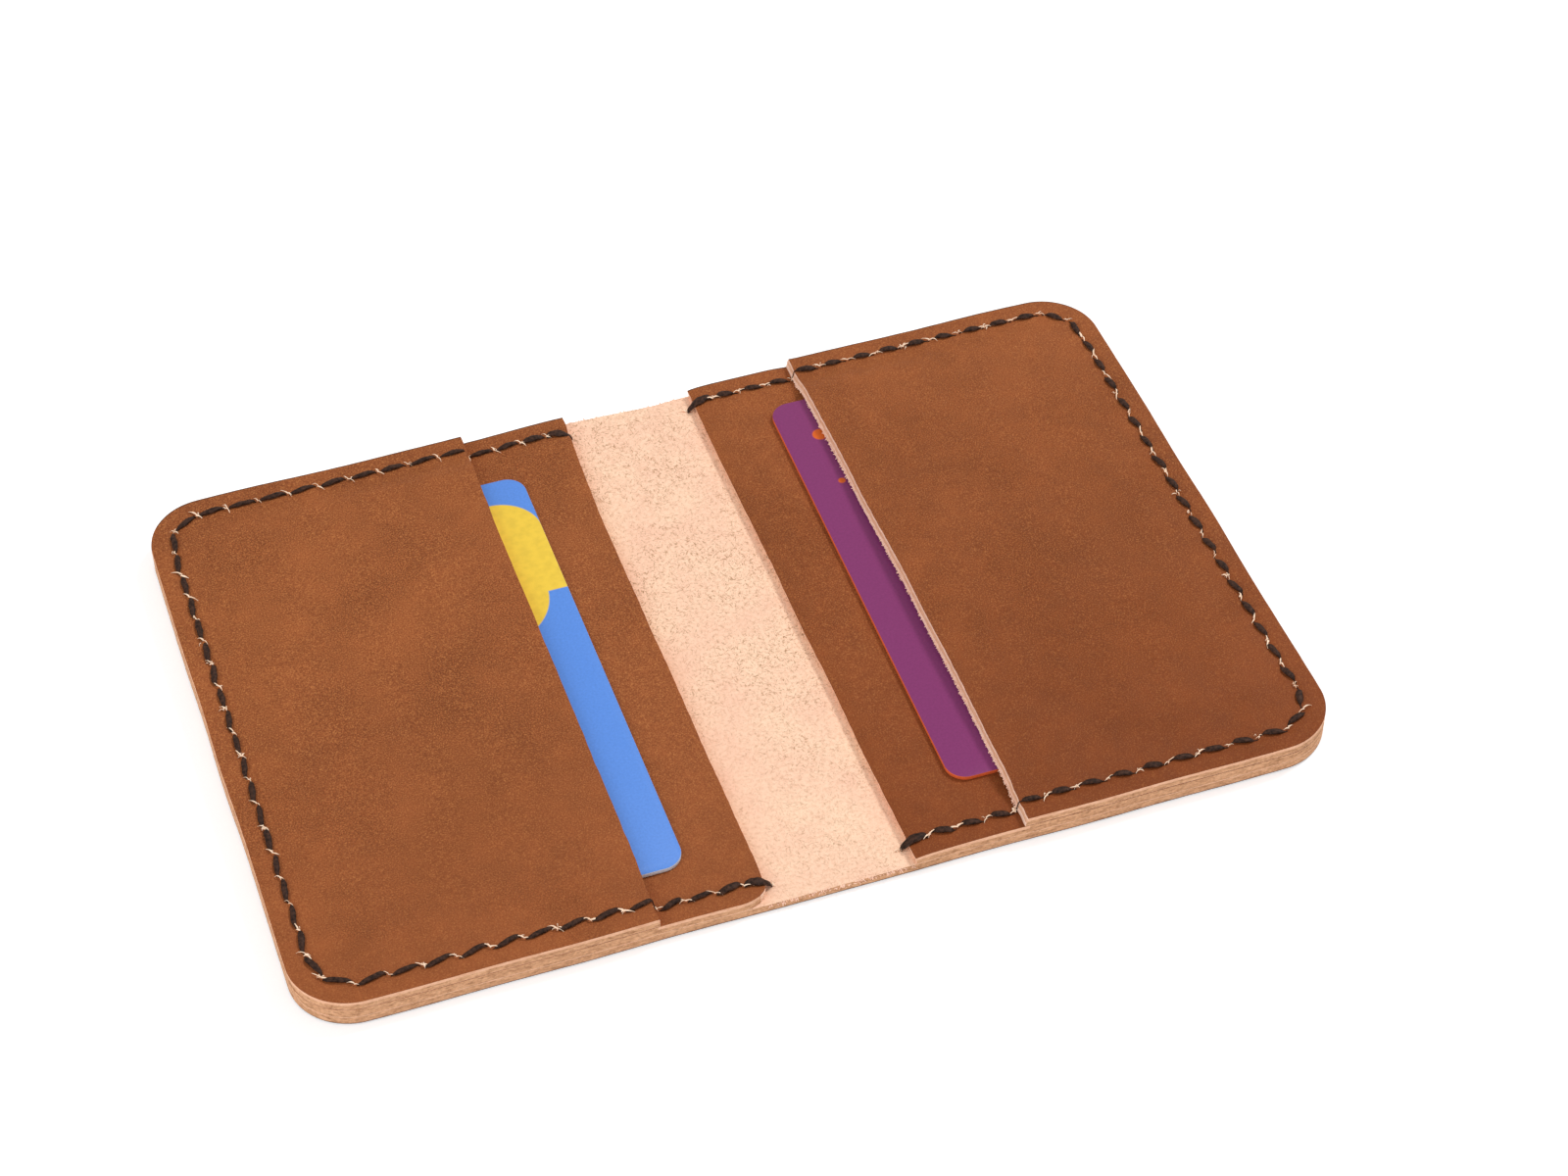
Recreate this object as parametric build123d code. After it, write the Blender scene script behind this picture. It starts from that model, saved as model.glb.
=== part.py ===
from build123d import *
import math
import os

# Bifold card holder of vegetable-tanned leather, lying open with its inside up.
# Millimetres. The fold runs along Y, the halves lie along X, +Z is up.
# The origin is the fold's centre, on the underside.

length = 106.0                 # along the fold
half_width = 80.7              # fold centre to the outer edge
leather = 1.7                  # thickness of every layer
corner_radius = 9.3            # outer corners
back_edge = {"left": 11.0, "right": 11.3}      # back pocket's opening edge, from the fold centre
front_edge = {"left": 27.9, "right": 29.0}     # front pocket's opening edge, from the fold centre

hinge_offset = 4.5             # each fold line, from the fold centre

card_long, card_short, card_thick, card_corner = 85.6, 53.98, 0.76, 3.18
card_edge = {"left": 20.7, "right": 21.8}      # card's showing edge, from the fold centre
card_shift = {"left": -0.74, "right": 0.85}    # card's centre along Y
card_tilt = {"left": 0.0, "right": -0.5}       # degrees about Z
card_gap = 0.05                # under the card

swell = 1.0                    # how far the front pocket stands up over its card
swell_end = 76.8               # outer end of the swell, just inside the stitches
swell_half = 46.0              # half its length along Y
swell_corner = 5.0
swell_slope = 45.0             # degrees off vertical
room_end = 76.6                # outer end of the card's room
room_half = 44.8
room_corner = 3.0

stitch_inset = 3.4             # stitch line, from the outer edge
stitch_start = {"left": 9.9, "right": 10.7}    # first hole, in the bare leather, from the fold centre
edge_hole = 0.55               # a hole this far short of each front pocket's opening edge
edge_stitches = 4              # from the first hole to that one
round_stitches = 39            # from that one round to its twin at the far side
hole_along, hole_across = 1.3, 1.0
strand_wide, strand_high = 0.6, 0.5
strand_leg = 0.35              # length of a strand inside a hole, along the stitch line
strand_space = 0.3             # between the strands of neighbouring stitches in a hole
strand_ease = 0.02             # between a strand and the leather it crosses
groove_wide, groove_deep = 0.9, 0.5
groove_ease = 0.05             # the thread lies this far inside the groove

back_top = 2 * leather
front_top = 3 * leather


def outline(inner):
    """Plan of a layer of the +X half, from its inner edge to the rounded outer edge."""
    whole = RectangleRounded(2 * half_width, length, corner_radius)
    kept = half_width + corner_radius - inner
    return whole & Pos(inner + kept / 2, 0) * Rectangle(kept, 2 * length)


def layer(inner, bottom):
    return Pos(0, 0, bottom) * extrude(outline(inner), leather)


def rounded_plan(inner, outer, half, radius):
    """Plan open at the inner edge, with two rounded corners at the outer end."""
    whole = RectangleRounded(2 * outer, 2 * half, radius)
    return whole & Pos((inner + outer) / 2, 0) * Rectangle(outer - inner, 3 * half)


def even(first, last, count):
    """Even places from the first up to the last, which is left out."""
    return [first + (last - first) * i / count for i in range(count)]


def stitch_line(side):
    """The holes of one half in order: position and direction of the line."""
    x = half_width - stitch_inset
    y = length / 2 - stitch_inset
    start = stitch_start[side]
    corners = [(start, -y), (x, -y), (x, y), (start, y)]
    path = FilletPolyline(*corners, radius=corner_radius - stitch_inset)
    near = front_edge[side] - edge_hole - start
    far = path.length - near
    places = even(0, near, edge_stitches) + even(near, far, round_stitches)
    places += even(far, path.length, edge_stitches) + [path.length]
    return [(path.position_at(p / path.length), path.tangent_at(p / path.length)) for p in places]


def heading(direction):
    return math.degrees(math.atan2(direction.Y, direction.X))


def surface(x, side):
    """Height of the leather under the thread, at a distance from the fold."""
    if x > front_edge[side]:
        return front_top
    return back_top


def holes(side, inner, bottom):
    """Slits through one layer, at every stitch hole that the layer reaches."""
    cuts = []
    for point, direction in stitch_line(side):
        if point.X > inner:
            slit = Box(hole_along, hole_across, leather)
            middle = bottom + leather / 2
            cuts.append(Pos(point.X, point.Y, middle) * Rot(0, 0, heading(direction)) * slit)
    return cuts


def between_holes(side):
    """Middle, direction and length of each stitch."""
    points = [point for point, direction in stitch_line(side)]
    for start, end in zip(points[:-1], points[1:]):
        run = end - start
        yield (start + end) / 2, heading(run), run.length, max(start.X, end.X)


def grooves(side):
    cuts = []
    for middle, angle, run, far_x in between_holes(side):
        cut = Box(run + groove_wide, groove_wide, groove_deep)
        cuts.append(Pos(middle.X, middle.Y, groove_deep / 2) * Rot(0, 0, angle) * cut)
    return cuts


def shell_half(side):
    return layer(hinge_offset, 0) - holes(side, hinge_offset, 0) - grooves(side)


def shell_spine():
    return Pos(0, 0, leather / 2) * Box(2 * hinge_offset, length, leather)


def back_pocket(side):
    return layer(back_edge[side], leather) - holes(side, back_edge[side], leather)


def front_pocket(side):
    """A flat stitched margin on three sides and a swell with room for the card under it."""
    inner = front_edge[side]
    swell_plan = rounded_plan(inner - 2 * swell, swell_end, swell_half, swell_corner)
    mound = extrude(swell_plan, swell, taper=swell_slope)
    beyond = Pos(inner - 5 * swell, 0, swell / 2) * Box(10 * swell, length, 2 * swell)
    mound = Pos(0, 0, front_top) * (mound - beyond)
    room_plan = rounded_plan(inner - 2 * swell, room_end, room_half, room_corner)
    room = Pos(0, 0, back_top) * extrude(room_plan, swell)
    return layer(inner, back_top) + mound - room - holes(side, inner, back_top)


def stitch(middle, angle, run, top):
    """One stitch: a strand on each face and one down through the hole at each end."""
    outer_length = run - strand_space
    low = groove_ease
    high = top + strand_ease + strand_high
    ring = Pos(0, 0, (low + high) / 2) * Box(outer_length, strand_wide, high - low)
    floor = groove_deep - groove_ease
    ceiling = top + strand_ease
    eye = Box(outer_length - 2 * strand_leg, 2 * strand_wide, ceiling - floor)
    ring = ring - Pos(0, 0, (floor + ceiling) / 2) * eye
    return Pos(middle.X, middle.Y, 0) * Rot(0, 0, angle) * ring


def stitching(side):
    """Every stitch of one half, each a solid of its own."""
    made = []
    for middle, angle, run, far_x in between_holes(side):
        made.append(stitch(middle, angle, run, surface(far_x, side)))
    return Compound(children=made)


def card(side):
    plan = RectangleRounded(card_short, card_long, card_corner)
    body = Rot(0, 0, card_tilt[side]) * extrude(plan, card_thick)
    centre = card_edge[side] + card_short / 2
    return Pos(centre, card_shift[side], back_top + card_gap) * body


def placed(shape, side):
    """The +X shape as it is, or mirrored in the fold for the left half."""
    if side == "left":
        return mirror(shape, Plane.YZ)
    return shape


def save(shape, node):
    export_step(shape, f"parts/{node}.step")


os.makedirs("parts", exist_ok=True)
save(shell_spine(), "shell_spine")
for side in ("left", "right"):
    save(placed(shell_half(side), side), f"shell_{side}")
    save(placed(back_pocket(side), side), f"back_pocket_{side}")
    save(placed(front_pocket(side), side), f"front_pocket_{side}")
    save(placed(stitching(side), side), f"stitching_{side}")
    save(placed(card(side), side), f"card_{side}")
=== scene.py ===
import math
import random
import bpy
import numpy as np
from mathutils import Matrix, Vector


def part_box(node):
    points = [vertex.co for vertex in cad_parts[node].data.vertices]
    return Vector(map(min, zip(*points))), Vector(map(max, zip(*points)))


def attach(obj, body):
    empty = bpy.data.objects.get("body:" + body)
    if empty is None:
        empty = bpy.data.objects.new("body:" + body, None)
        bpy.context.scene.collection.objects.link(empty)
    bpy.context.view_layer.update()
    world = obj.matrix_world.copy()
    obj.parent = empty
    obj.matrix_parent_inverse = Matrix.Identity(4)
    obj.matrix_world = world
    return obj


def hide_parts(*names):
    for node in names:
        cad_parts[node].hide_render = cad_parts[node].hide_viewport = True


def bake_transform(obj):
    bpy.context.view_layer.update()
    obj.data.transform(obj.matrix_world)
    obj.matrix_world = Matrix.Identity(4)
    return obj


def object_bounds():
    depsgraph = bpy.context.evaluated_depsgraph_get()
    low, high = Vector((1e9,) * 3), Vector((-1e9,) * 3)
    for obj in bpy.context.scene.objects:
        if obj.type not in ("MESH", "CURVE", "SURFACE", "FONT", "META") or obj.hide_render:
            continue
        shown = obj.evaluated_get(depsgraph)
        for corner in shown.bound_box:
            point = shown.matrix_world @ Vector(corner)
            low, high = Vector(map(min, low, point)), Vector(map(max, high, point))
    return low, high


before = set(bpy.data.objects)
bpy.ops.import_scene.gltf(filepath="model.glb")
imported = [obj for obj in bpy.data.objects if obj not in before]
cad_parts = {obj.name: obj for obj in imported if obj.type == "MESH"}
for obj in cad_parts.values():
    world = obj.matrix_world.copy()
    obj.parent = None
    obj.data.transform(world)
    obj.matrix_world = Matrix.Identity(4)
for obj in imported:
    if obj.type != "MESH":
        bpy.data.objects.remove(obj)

# hand-sewn bifold card holder: fold along Y, halves along X, inside up, metres
mm = 0.001
cadLow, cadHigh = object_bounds()

holder = {
    "halfWidth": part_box("shell_right")[1].x,
    "halfLength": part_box("shell_right")[1].y,
    "leather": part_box("shell_spine")[1].z,
    "foldLine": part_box("shell_spine")[1].x,
    "cornerRadius": 9.3 * mm,
    "gridStep": 0.5 * mm,          # along the seams and across the panels
    "ringStep": 0.35 * mm,         # in from the edge, as far as the seam
    "rim": 0.22 * mm,              # width of the dark line on the outline: painted shade along the pockets' far side, a dark edge with painted contact shadow on the shell
    "lip": 0.07 * mm,              # rounding of the pockets' opening edges
    "rimDarkAndShade": 0.25 * mm,           # width of the rubbed line on the outline
}
backTop = 2 * holder["leather"]
frontTop = 3 * holder["leather"]
turnX = holder["halfWidth"] - holder["cornerRadius"]
turnY = holder["halfLength"] - holder["cornerRadius"]


def openingEdge(node):
    low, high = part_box(node)
    return min(abs(low.x), abs(high.x))


# lift is how far the front pocket's lip stands up and peak where along Y it stands highest, tip is
# how much nearer the fold the first hole lies than the stitching's solid, and sag is how far the back
# pocket's opening edge droops
halves = {
    "left": {
        "sign": -1, "body": "left_half",
        "lift": 0.1 * mm, "peak": 0.0, "tip": 0.45 * mm, "sag": 0.0,
    },
    "right": {
        "sign": 1, "body": "right_half",
        "lift": 0.93 * mm, "peak": -12 * mm, "tip": 0.75 * mm, "sag": 0.4 * mm,
    },
}
for side, half in halves.items():
    half["backEdge"] = openingEdge("back_pocket_" + side)
    half["frontEdge"] = openingEdge("front_pocket_" + side)
    half["cardLow"], half["cardHigh"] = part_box("card_" + side)
    half["start"] = openingEdge("stitching_" + side) - half["tip"]    # first hole, beside the back pocket

seam = {
    "inset": 3.4 * mm,
    "edgeHole": 0.55 * mm,         # a hole this far short of the front pocket's opening edge
    "edgeStitches": 4,             # from the first hole to that one
    "roundStitches": 39,           # from that one round to its twin at the far side
    "wide": 0.94 * mm,
    "high": 0.48 * mm,
    "groove": 0.45 * mm,           # depth of the channel on the outside
    "dent": 0.75 * mm,             # how far the end stitches press the back pocket's edge down
    "dentReach": 1.6 * mm,         # how far in from that edge the dent and the sag die away
    "sink": 0.1 * mm,              # how far the seam line is pulled down
    "dimple": 0.22 * mm,           # and each hole on it
    "dimpleReach": 0.75 * mm,
}


def smooth(t):
    t = np.clip(t, 0, 1)
    return t * t * (3 - 2 * t)


def waves(x, y, size, seed):
    # soft random waves between about -1 and 1, the same on every run
    pick = np.random.RandomState(seed)
    total = np.zeros(np.shape(x))
    for i in range(7):
        angle = pick.uniform(0, math.tau)
        turn = math.tau / (size * pick.uniform(0.6, 1.7))
        phase = pick.uniform(0, math.tau)
        total += np.sin((x * math.cos(angle) + y * math.sin(angle)) * turn + phase)
    return total / 3.2


def insetOf(x, y):
    # distance in from the rounded outline
    ax, ay = np.abs(x), np.abs(y)
    straight = np.minimum(holder["halfWidth"] - ax, holder["halfLength"] - ay)
    curved = holder["cornerRadius"] - np.hypot(ax - turnX, ay - turnY)
    return np.where((ax > turnX) & (ay > turnY), curved, straight)


def even(first, last, count):
    return [first + (last - first) * i / count for i in range(count)]


def seamPoints(start, frontEdge):
    # the holes round the three sewn sides of a +X half, with the seam's heading at each
    radius = holder["cornerRadius"] - seam["inset"]
    straight = turnX - start
    quarter = radius * math.pi / 2
    total = 2 * straight + 2 * quarter + 2 * turnY
    edge = holder["halfLength"] - seam["inset"]
    side = holder["halfWidth"] - seam["inset"]
    near = frontEdge - seam["edgeHole"] - start
    places = even(0, near, seam["edgeStitches"]) + even(near, total - near, seam["roundStitches"])
    places += even(total - near, total, seam["edgeStitches"]) + [total]
    made = []
    for place in places:
        mirror = place > total / 2
        s = total - place if mirror else place
        heading = 0.0
        if s < straight:
            x, y = start + s, -edge
        elif s < straight + quarter:
            heading = (s - straight) / radius
            x = turnX + radius * math.sin(heading)
            y = -turnY - radius * math.cos(heading)
        else:
            x, y, heading = side, s - straight - quarter - turnY, math.pi / 2
        made.append((x, -y, math.pi - heading) if mirror else (x, y, heading))
    return made


for half in halves.values():
    half["holes"] = seamPoints(half["start"], half["frontEdge"])


def dimples(side, x, y, reach):
    # how near each place is to a stitch hole, from 0 to 1
    near = np.zeros(np.shape(x))
    for hx, hy, heading in halves[side]["holes"]:
        near = np.maximum(near, np.exp(-((x - hx) ** 2 + (y - hy) ** 2) / reach ** 2))
    return near


def planGrid(inner, bare):
    # plan of one panel of the right half as points and faces: rings follow the rounded outline,
    # a plain grid fills the rest, and past bare the grid is one flat face
    rim = holder["rim"]
    firstRings = [rim * (1 - math.cos(a)) for a in np.linspace(0, math.pi / 2, 5)]
    near = np.arange(rim + holder["ringStep"], 1.4 * seam["inset"], holder["ringStep"])
    deep = np.linspace(near[-1] + 2 * holder["ringStep"], holder["cornerRadius"], 7)
    insets = firstRings + list(near) + list(deep)
    firstColumns = [inner + inset for inset in firstRings]
    columns = math.ceil((turnX - firstColumns[-1]) / holder["gridStep"])
    xs = firstColumns[:-1] + list(np.linspace(firstColumns[-1], turnX, columns + 1))
    ys = np.linspace(-turnY, turnY, math.ceil(2 * turnY / holder["gridStep"]) + 1)
    turns = np.linspace(0, math.pi / 2, 30)[1:-1]
    points, faces = [], []
    ringLength = 2 * len(xs) + 2 * len(turns) + len(ys)
    for inset in insets:
        radius = holder["cornerRadius"] - inset
        edge = holder["halfLength"] - inset
        points += [(x, -edge) for x in xs]
        points += [(turnX + radius * math.sin(a), -turnY - radius * math.cos(a)) for a in turns]
        points += [(holder["halfWidth"] - inset, y) for y in ys]
        points += [(turnX + radius * math.cos(a), turnY + radius * math.sin(a)) for a in turns]
        points += [(x, edge) for x in reversed(xs)]
    for ring in range(len(insets) - 1):
        for i in range(ringLength - 1):
            a = ring * ringLength + i
            faces.append((a, a + 1, a + 1 + ringLength, a + ringLength))
    base = len(points)
    points += [(x, y) for y in ys for x in xs]
    wide = len(xs)
    kept = next((i for i, x in enumerate(xs) if x > bare), wide - 1)
    for row in range(len(ys) - 1):
        for i in range(kept):
            a = base + row * wide + i
            faces.append((a, a + 1, a + 1 + wide, a + wide))
    if kept < wide - 1:
        last = len(ys) - 1
        loop = [base + i for i in range(kept, wide)]
        loop += [base + row * wide + wide - 1 for row in range(1, last + 1)]
        loop += [base + last * wide + i for i in range(wide - 2, kept - 1, -1)]
        loop += [base + row * wide + kept for row in range(last - 1, 0, -1)]
        faces.append(tuple(loop))
    rimLoop = list(range(ringLength))
    rimLoop += [(ring + 1) * ringLength - 1 for ring in range(1, len(insets) - 1)]
    rimLoop += [base + row * wide for row in range(len(ys) - 1, -1, -1)]
    rimLoop += [ring * ringLength for ring in range(len(insets) - 2, 0, -1)]
    return np.array(points), faces, rimLoop


def merged(points, faces, rimLoop):
    # joins the places that rings and grid share
    keys = np.round(points / (0.001 * mm)).astype(np.int64)
    _, first, index = np.unique(keys, axis=0, return_index=True, return_inverse=True)
    index = index.ravel()

    def clean(loop):
        row = [int(index[i]) for i in loop]
        return [v for i, v in enumerate(row) if v != row[i - 1]]

    rows = [clean(face) for face in faces]
    return points[first], [row for row in rows if len(row) > 2], clean(rimLoop)


def rolled(distance, radius):
    # how far a rounded rim has dropped at a distance in from its edge
    t = np.clip(distance / radius, 0, 1)
    return radius * (1 - np.sqrt(1 - (1 - t) ** 2))


def cornered(x, y, inner, wide, deep):
    # eases the near corner of an opening edge into a long round, wide by deep
    u = 1 - (x - inner) / wide
    v = 1 - (y + holder["halfLength"]) / deep
    inside = (u > 0) & (v > 0)
    scale = np.where(inside, np.maximum(u, v) / np.maximum(np.hypot(u, v), 1e-9), 1)
    roundX = np.where(inside, inner + wide * (1 - u * scale), x)
    roundY = np.where(inside, deep * (1 - v * scale) - holder["halfLength"], y)
    return roundX, roundY


# hand cutting: how far an edge wanders and over what length, for long slips and for small nicks
cutting = {
    "slip": (0.07 * mm, 21 * mm),
    "nick": (0.03 * mm, 3 * mm),
    "trim": (0.09 * mm, 24 * mm),      # the outline, which was trimmed through all the layers
    "trimNick": (0.012 * mm, 4 * mm),
    "trimSeed": 77,
    "trimmedBack": 0.06 * mm,
    "openingBack": 0.05 * mm,
    "reach": 1.2 * mm,                 # how far into a panel its edge moves the surface
    "rough": 0.024 * mm,               # fibres standing out of a cut wall
    "slantFrom": 28 * mm,
    "slantOver": 25 * mm,
    "slantReach": 3 * mm,
    "skewReach": 1 * mm,
}


def slab(name, side, inner, topOf, bottomOf, rims=(0.05 * mm, 0.05 * mm), bare=(1, 1), square=False,
         corner=None, skew=0.0, slant=0.0, paleTo=1.0,
         lipRows=("pale", "band", "band", "pale", "pale"), fluff=None):
    # one leather panel: topOf and bottomOf give the heights of its faces over the plan, rims are the
    # roundings of its upper and lower outline, and past bare its upper and lower face are one flat
    # face each, as nothing shows there.
    # square is for the shell, whose flesh side is up and whose inner end meets the other half.
    # corner rounds the near corner, skew slopes the opening edge, and undercuts it when negative,
    # slant swings its far end towards the fold, lipRows gives the finish of each row down that edge,
    # paleTo is where the lighter band of the cut wall ends, and fluff adds torn fibres
    sign = halves[side]["sign"]
    points, topFaces, loop = merged(*planGrid(inner, bare[0]))
    x, y = points[:, 0], points[:, 1]
    inset = insetOf(x, y)
    ease = x - inner
    opening = 0 if square else rolled(ease, holder["lip"])
    top = topOf(x, y) - np.maximum(rolled(inset, rims[0]), opening)
    bottomFaces = merged(*planGrid(inner, bare[1]))[1]
    bottom = bottomOf(x, y) + np.maximum(rolled(inset, rims[1]), 0.3 * opening)
    seed = sum(map(ord, name))

    def wandering(kind, start):
        amount, size = cutting[kind]
        return amount * waves(x, y, size, start)

    cut = wandering("slip", seed) + wandering("nick", seed + 1)
    trimmed = wandering("trim", cutting["trimSeed"]) + wandering("trimNick", seed)
    wander = (cutting["trimmedBack"] + trimmed) * np.exp(-inset / cutting["reach"])
    centreX = np.minimum(x, turnX)
    centreY = np.clip(y, -turnY, turnY)
    away = np.hypot(x - centreX, y - centreY) + 1e-9
    outX = np.where(inset < holder["cornerRadius"], (x - centreX) / away, 0)
    outY = np.where(inset < holder["cornerRadius"], (y - centreY) / away, 0)
    px = x - outX * wander
    py = y - outY * wander
    if not square:
        px = px + (cutting["openingBack"] + cut) * np.exp(-ease / cutting["reach"])
        swing = smooth((y - cutting["slantFrom"]) / cutting["slantOver"])
        px = px - slant * swing * np.exp(-ease / cutting["slantReach"])
    if corner:
        px, py = cornered(px, py, inner, *corner)
    lowX = px - skew * np.exp(-ease / cutting["skewReach"])
    count = len(points)
    verts = [np.column_stack((px, py, top)), np.column_stack((lowX, py, bottom))]
    faces = [list(face) for face in topFaces]
    faces += [[v + count for v in reversed(face)] for face in bottomFaces]
    # the grain side's outline is painted dark: all round outside as a dark edge with painted contact
    # shadow, and at the far side inside as painted shade
    rimDarkAndShade = inset < holder["rimDarkAndShade"]
    rimShadeFar = rimDarkAndShade & (outY > 0.6) & (not square)
    marks = ["rim" if all(rimShadeFar[v] for v in face) else "upper" for face in topFaces]
    marks += ["rim" if square and all(rimDarkAndShade[v] for v in face) else "lower" for face in bottomFaces]
    # cut wall: rows between the faces, rough across the fibres
    rows = len(lipRows)
    ring = np.array(loop)
    opened = (ease[ring] < 0.001 * mm) & (not square)
    pick = np.random.RandomState(seed)
    previous = ring
    total = 2 * count
    for row in range(1, rows + 1):
        t = row / rows
        if row < rows:
            z = top[ring] * (1 - t) + bottom[ring] * t
            push = pick.normal(0, cutting["rough"], len(ring))
            if square:
                push = np.where(x[ring] < inner + 2 * mm, 0, push)
            wallX = px[ring] * (1 - t) + lowX[ring] * t + outX[ring] * push
            wallX = wallX - np.where(opened, push, 0)
            verts.append(np.column_stack((wallX, py[ring] + outY[ring] * push, z)))
            current = np.arange(total, total + len(ring))
            total += len(ring)
        else:
            current = ring + count
        for i in range(len(ring)):
            j = (i + 1) % len(ring)
            faces.append([previous[i], current[i], current[j], previous[j]])
            if opened[i]:
                marks.append(lipRows[row - 1])
            else:
                marks.append("band" if row < 3 and x[ring[i]] < paleTo else "cut")
        previous = current
    finishes = {
        "upper": fleshSide if square else brown[side],
        "lower": brown[side] if square else fleshSide,
        "cut": cutSide,
        "pale": paleSide,
        "rim": rimDarkAndShadeSide,
        "band": bandSide,
    }
    if fluff:
        strands, strandFaces = fluff
        faces += [[v + total for v in face] for face in outward(strands, strandFaces)]
        marks += ["pale"] * len(strandFaces)
        verts.append(np.array([tuple(v) for v in strands]))
    order = {finish: i for i, finish in enumerate(finishes)}
    marks = [order[mark] for mark in marks]
    return meshPiece(name, np.vstack(verts), faces, marks, finishes.values(), sign)


# the far side of the left half has taken a slight rise beside the fold, and the right back
# pocket stands out a little past the far edge
settle = {
    "rise": 0.75 * mm,
    "riseX": 11 * mm,
    "riseWide": 15 * mm,
    "riseEnd": 10.5 * mm,
    "from": 20 * mm,               # along Y
    "bow": 0.45 * mm,
    "bowFrom": 3 * mm,
    "bowFull": 8 * mm,             # how long the bow takes to grow
    "bowEnd": 31 * mm,
    "bowFade": 6 * mm,
}


def settled(verts):
    x, y = verts[:, 0], verts[:, 1]
    rise = settle["rise"] * np.exp(-((x + settle["riseX"]) / settle["riseWide"]) ** 2)
    rise = rise * smooth((settle["riseEnd"] - x) / settle["riseEnd"])
    far = smooth((y - settle["from"]) / (holder["halfLength"] - settle["from"]))
    grown = smooth((x - settle["bowFrom"]) / settle["bowFull"])
    fading = smooth((settle["bowEnd"] - x) / settle["bowFade"])
    return verts + np.column_stack((0 * x, settle["bow"] * grown * fading * far, rise * far))


def meshPiece(name, verts, faces, marks, finishes, sign=1, sharp=40, soft=True):
    # leather and thread are shaped on the +X side, and sign -1 mirrors them onto the left half
    if sign < 0:
        verts = verts * np.array((-1, 1, 1))
        faces = [list(reversed(face)) for face in faces]
    if soft:
        verts = settled(verts)
    mesh = bpy.data.meshes.new(name)
    mesh.from_pydata([tuple(map(float, v)) for v in verts], [], [list(map(int, f)) for f in faces])
    for finish in finishes:
        mesh.materials.append(finish)
    mesh.polygons.foreach_set("material_index", marks)
    mesh.shade_smooth()
    mesh.set_sharp_from_angle(angle=math.radians(sharp))
    mesh.update()
    piece = bpy.data.objects.new(name, mesh)
    bpy.context.scene.collection.objects.link(piece)
    return piece


# materials
def newMaterial(name, roughness, **sockets):
    material = bpy.data.materials.new(name)
    material.use_nodes = True
    shader = material.node_tree.nodes["Principled BSDF"]
    shader.inputs["Roughness"].default_value = roughness
    for socket, value in sockets.items():
        shader.inputs[socket.replace("_", " ")].default_value = value
    return material, material.node_tree, shader


def plug(tree, socket, value):
    if isinstance(value, bpy.types.NodeSocket):
        tree.links.new(value, socket)
    else:
        socket.default_value = value


def addNode(tree, kind, settings=None, **inputs):
    node = tree.nodes.new("ShaderNode" + kind)
    for key, value in (settings or {}).items():
        setattr(node, key, value)
    for key, value in inputs.items():
        plug(tree, node.inputs[key.replace("_", " ")], value)
    return node


def tone(red, green, blue):
    # screen colour 0-255 to the linear value that the shader takes
    def linear(c):
        c /= 255
        return c / 12.92 if c <= 0.04045 else ((c + 0.055) / 1.055) ** 2.4
    return (linear(red), linear(green), linear(blue), 1)


def stretched(tree, scale, turn=0.0):
    # object coordinates, turned and then stretched
    place = addNode(tree, "TexCoord")
    mapping = addNode(tree, "Mapping", {"vector_type": "TEXTURE"}, Vector=place.outputs["Object"])
    mapping.inputs["Scale"].default_value = [1 / share for share in scale]
    mapping.inputs["Rotation"].default_value = (0, 0, turn)
    return mapping.outputs["Vector"]


def onPlan(tree):
    # object coordinates with their height left out
    place = addNode(tree, "TexCoord")
    flat = addNode(tree, "VectorMath", {"operation": "MULTIPLY"})
    tree.links.new(place.outputs["Object"], flat.inputs[0])
    flat.inputs[1].default_value = (1, 1, 0)
    return flat.outputs["Vector"]


def noise(tree, vector, scale, detail=2.0, rough=0.5, distortion=0.0):
    node = addNode(tree, "TexNoise", None, Vector=vector, Scale=scale, Detail=detail,
                   Roughness=rough, Distortion=distortion)
    return node.outputs["Fac"]


def ramp(tree, factor, *stops):
    node = addNode(tree, "ValToRGB", None, Fac=factor)
    band = node.color_ramp
    while len(band.elements) < len(stops):
        band.elements.new(0.5)
    for element, (place, colour) in zip(band.elements, stops):
        element.position = place
        element.color = colour
    return node.outputs["Color"]


def levels(tree, factor, low, high, outLow=0.0, outHigh=1.0):
    node = addNode(tree, "MapRange", None, Value=factor)
    for key, value in (("From Min", low), ("From Max", high), ("To Min", outLow), ("To Max", outHigh)):
        node.inputs[key].default_value = value
    return node.outputs["Result"]


def mixed(tree, factor, first, second, mode="MIX"):
    node = tree.nodes.new("ShaderNodeMix")
    node.data_type = "RGBA"
    node.blend_type = mode
    for index, value in ((0, factor), (6, first), (7, second)):
        plug(tree, node.inputs[index], value)
    return node.outputs[2]


def maths(tree, kind, first, second):
    node = tree.nodes.new("ShaderNodeMath")
    node.operation = kind
    for index, value in enumerate((first, second)):
        plug(tree, node.inputs[index], value)
    return node.outputs[0]


def bumped(tree, shader, height, strength, distance):
    node = addNode(tree, "Bump", None, Height=height, Strength=strength, Distance=distance)
    tree.links.new(node.outputs["Normal"], shader.inputs["Normal"])
    return node


def shade(colour, amount):
    return tuple(min(1, amount * c) for c in colour[:3]) + (1,)


grain = {
    "left": {"near": tone(160, 90, 50), "far": tone(162, 92, 51), "turn": 0.0, "pebble": 1.35},
    "right": {"near": tone(140, 73, 37), "far": tone(157, 88, 48), "turn": 1.1, "pebble": 1.0},
    # creaseShade is painted shade in the grain's creases and pits, partly their own darker colour, and
    # fleckGlint is painted glints on the pebbles, partly lighter grain
    "creaseShade": tone(98, 48, 22),
    "fleckGlint": tone(200, 132, 76),
    "blotch": 30,          # cloudy shade, per metre
    "cell": 2300,          # pebbles of the grain, per metre
    "pore": 4600,
}


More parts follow.
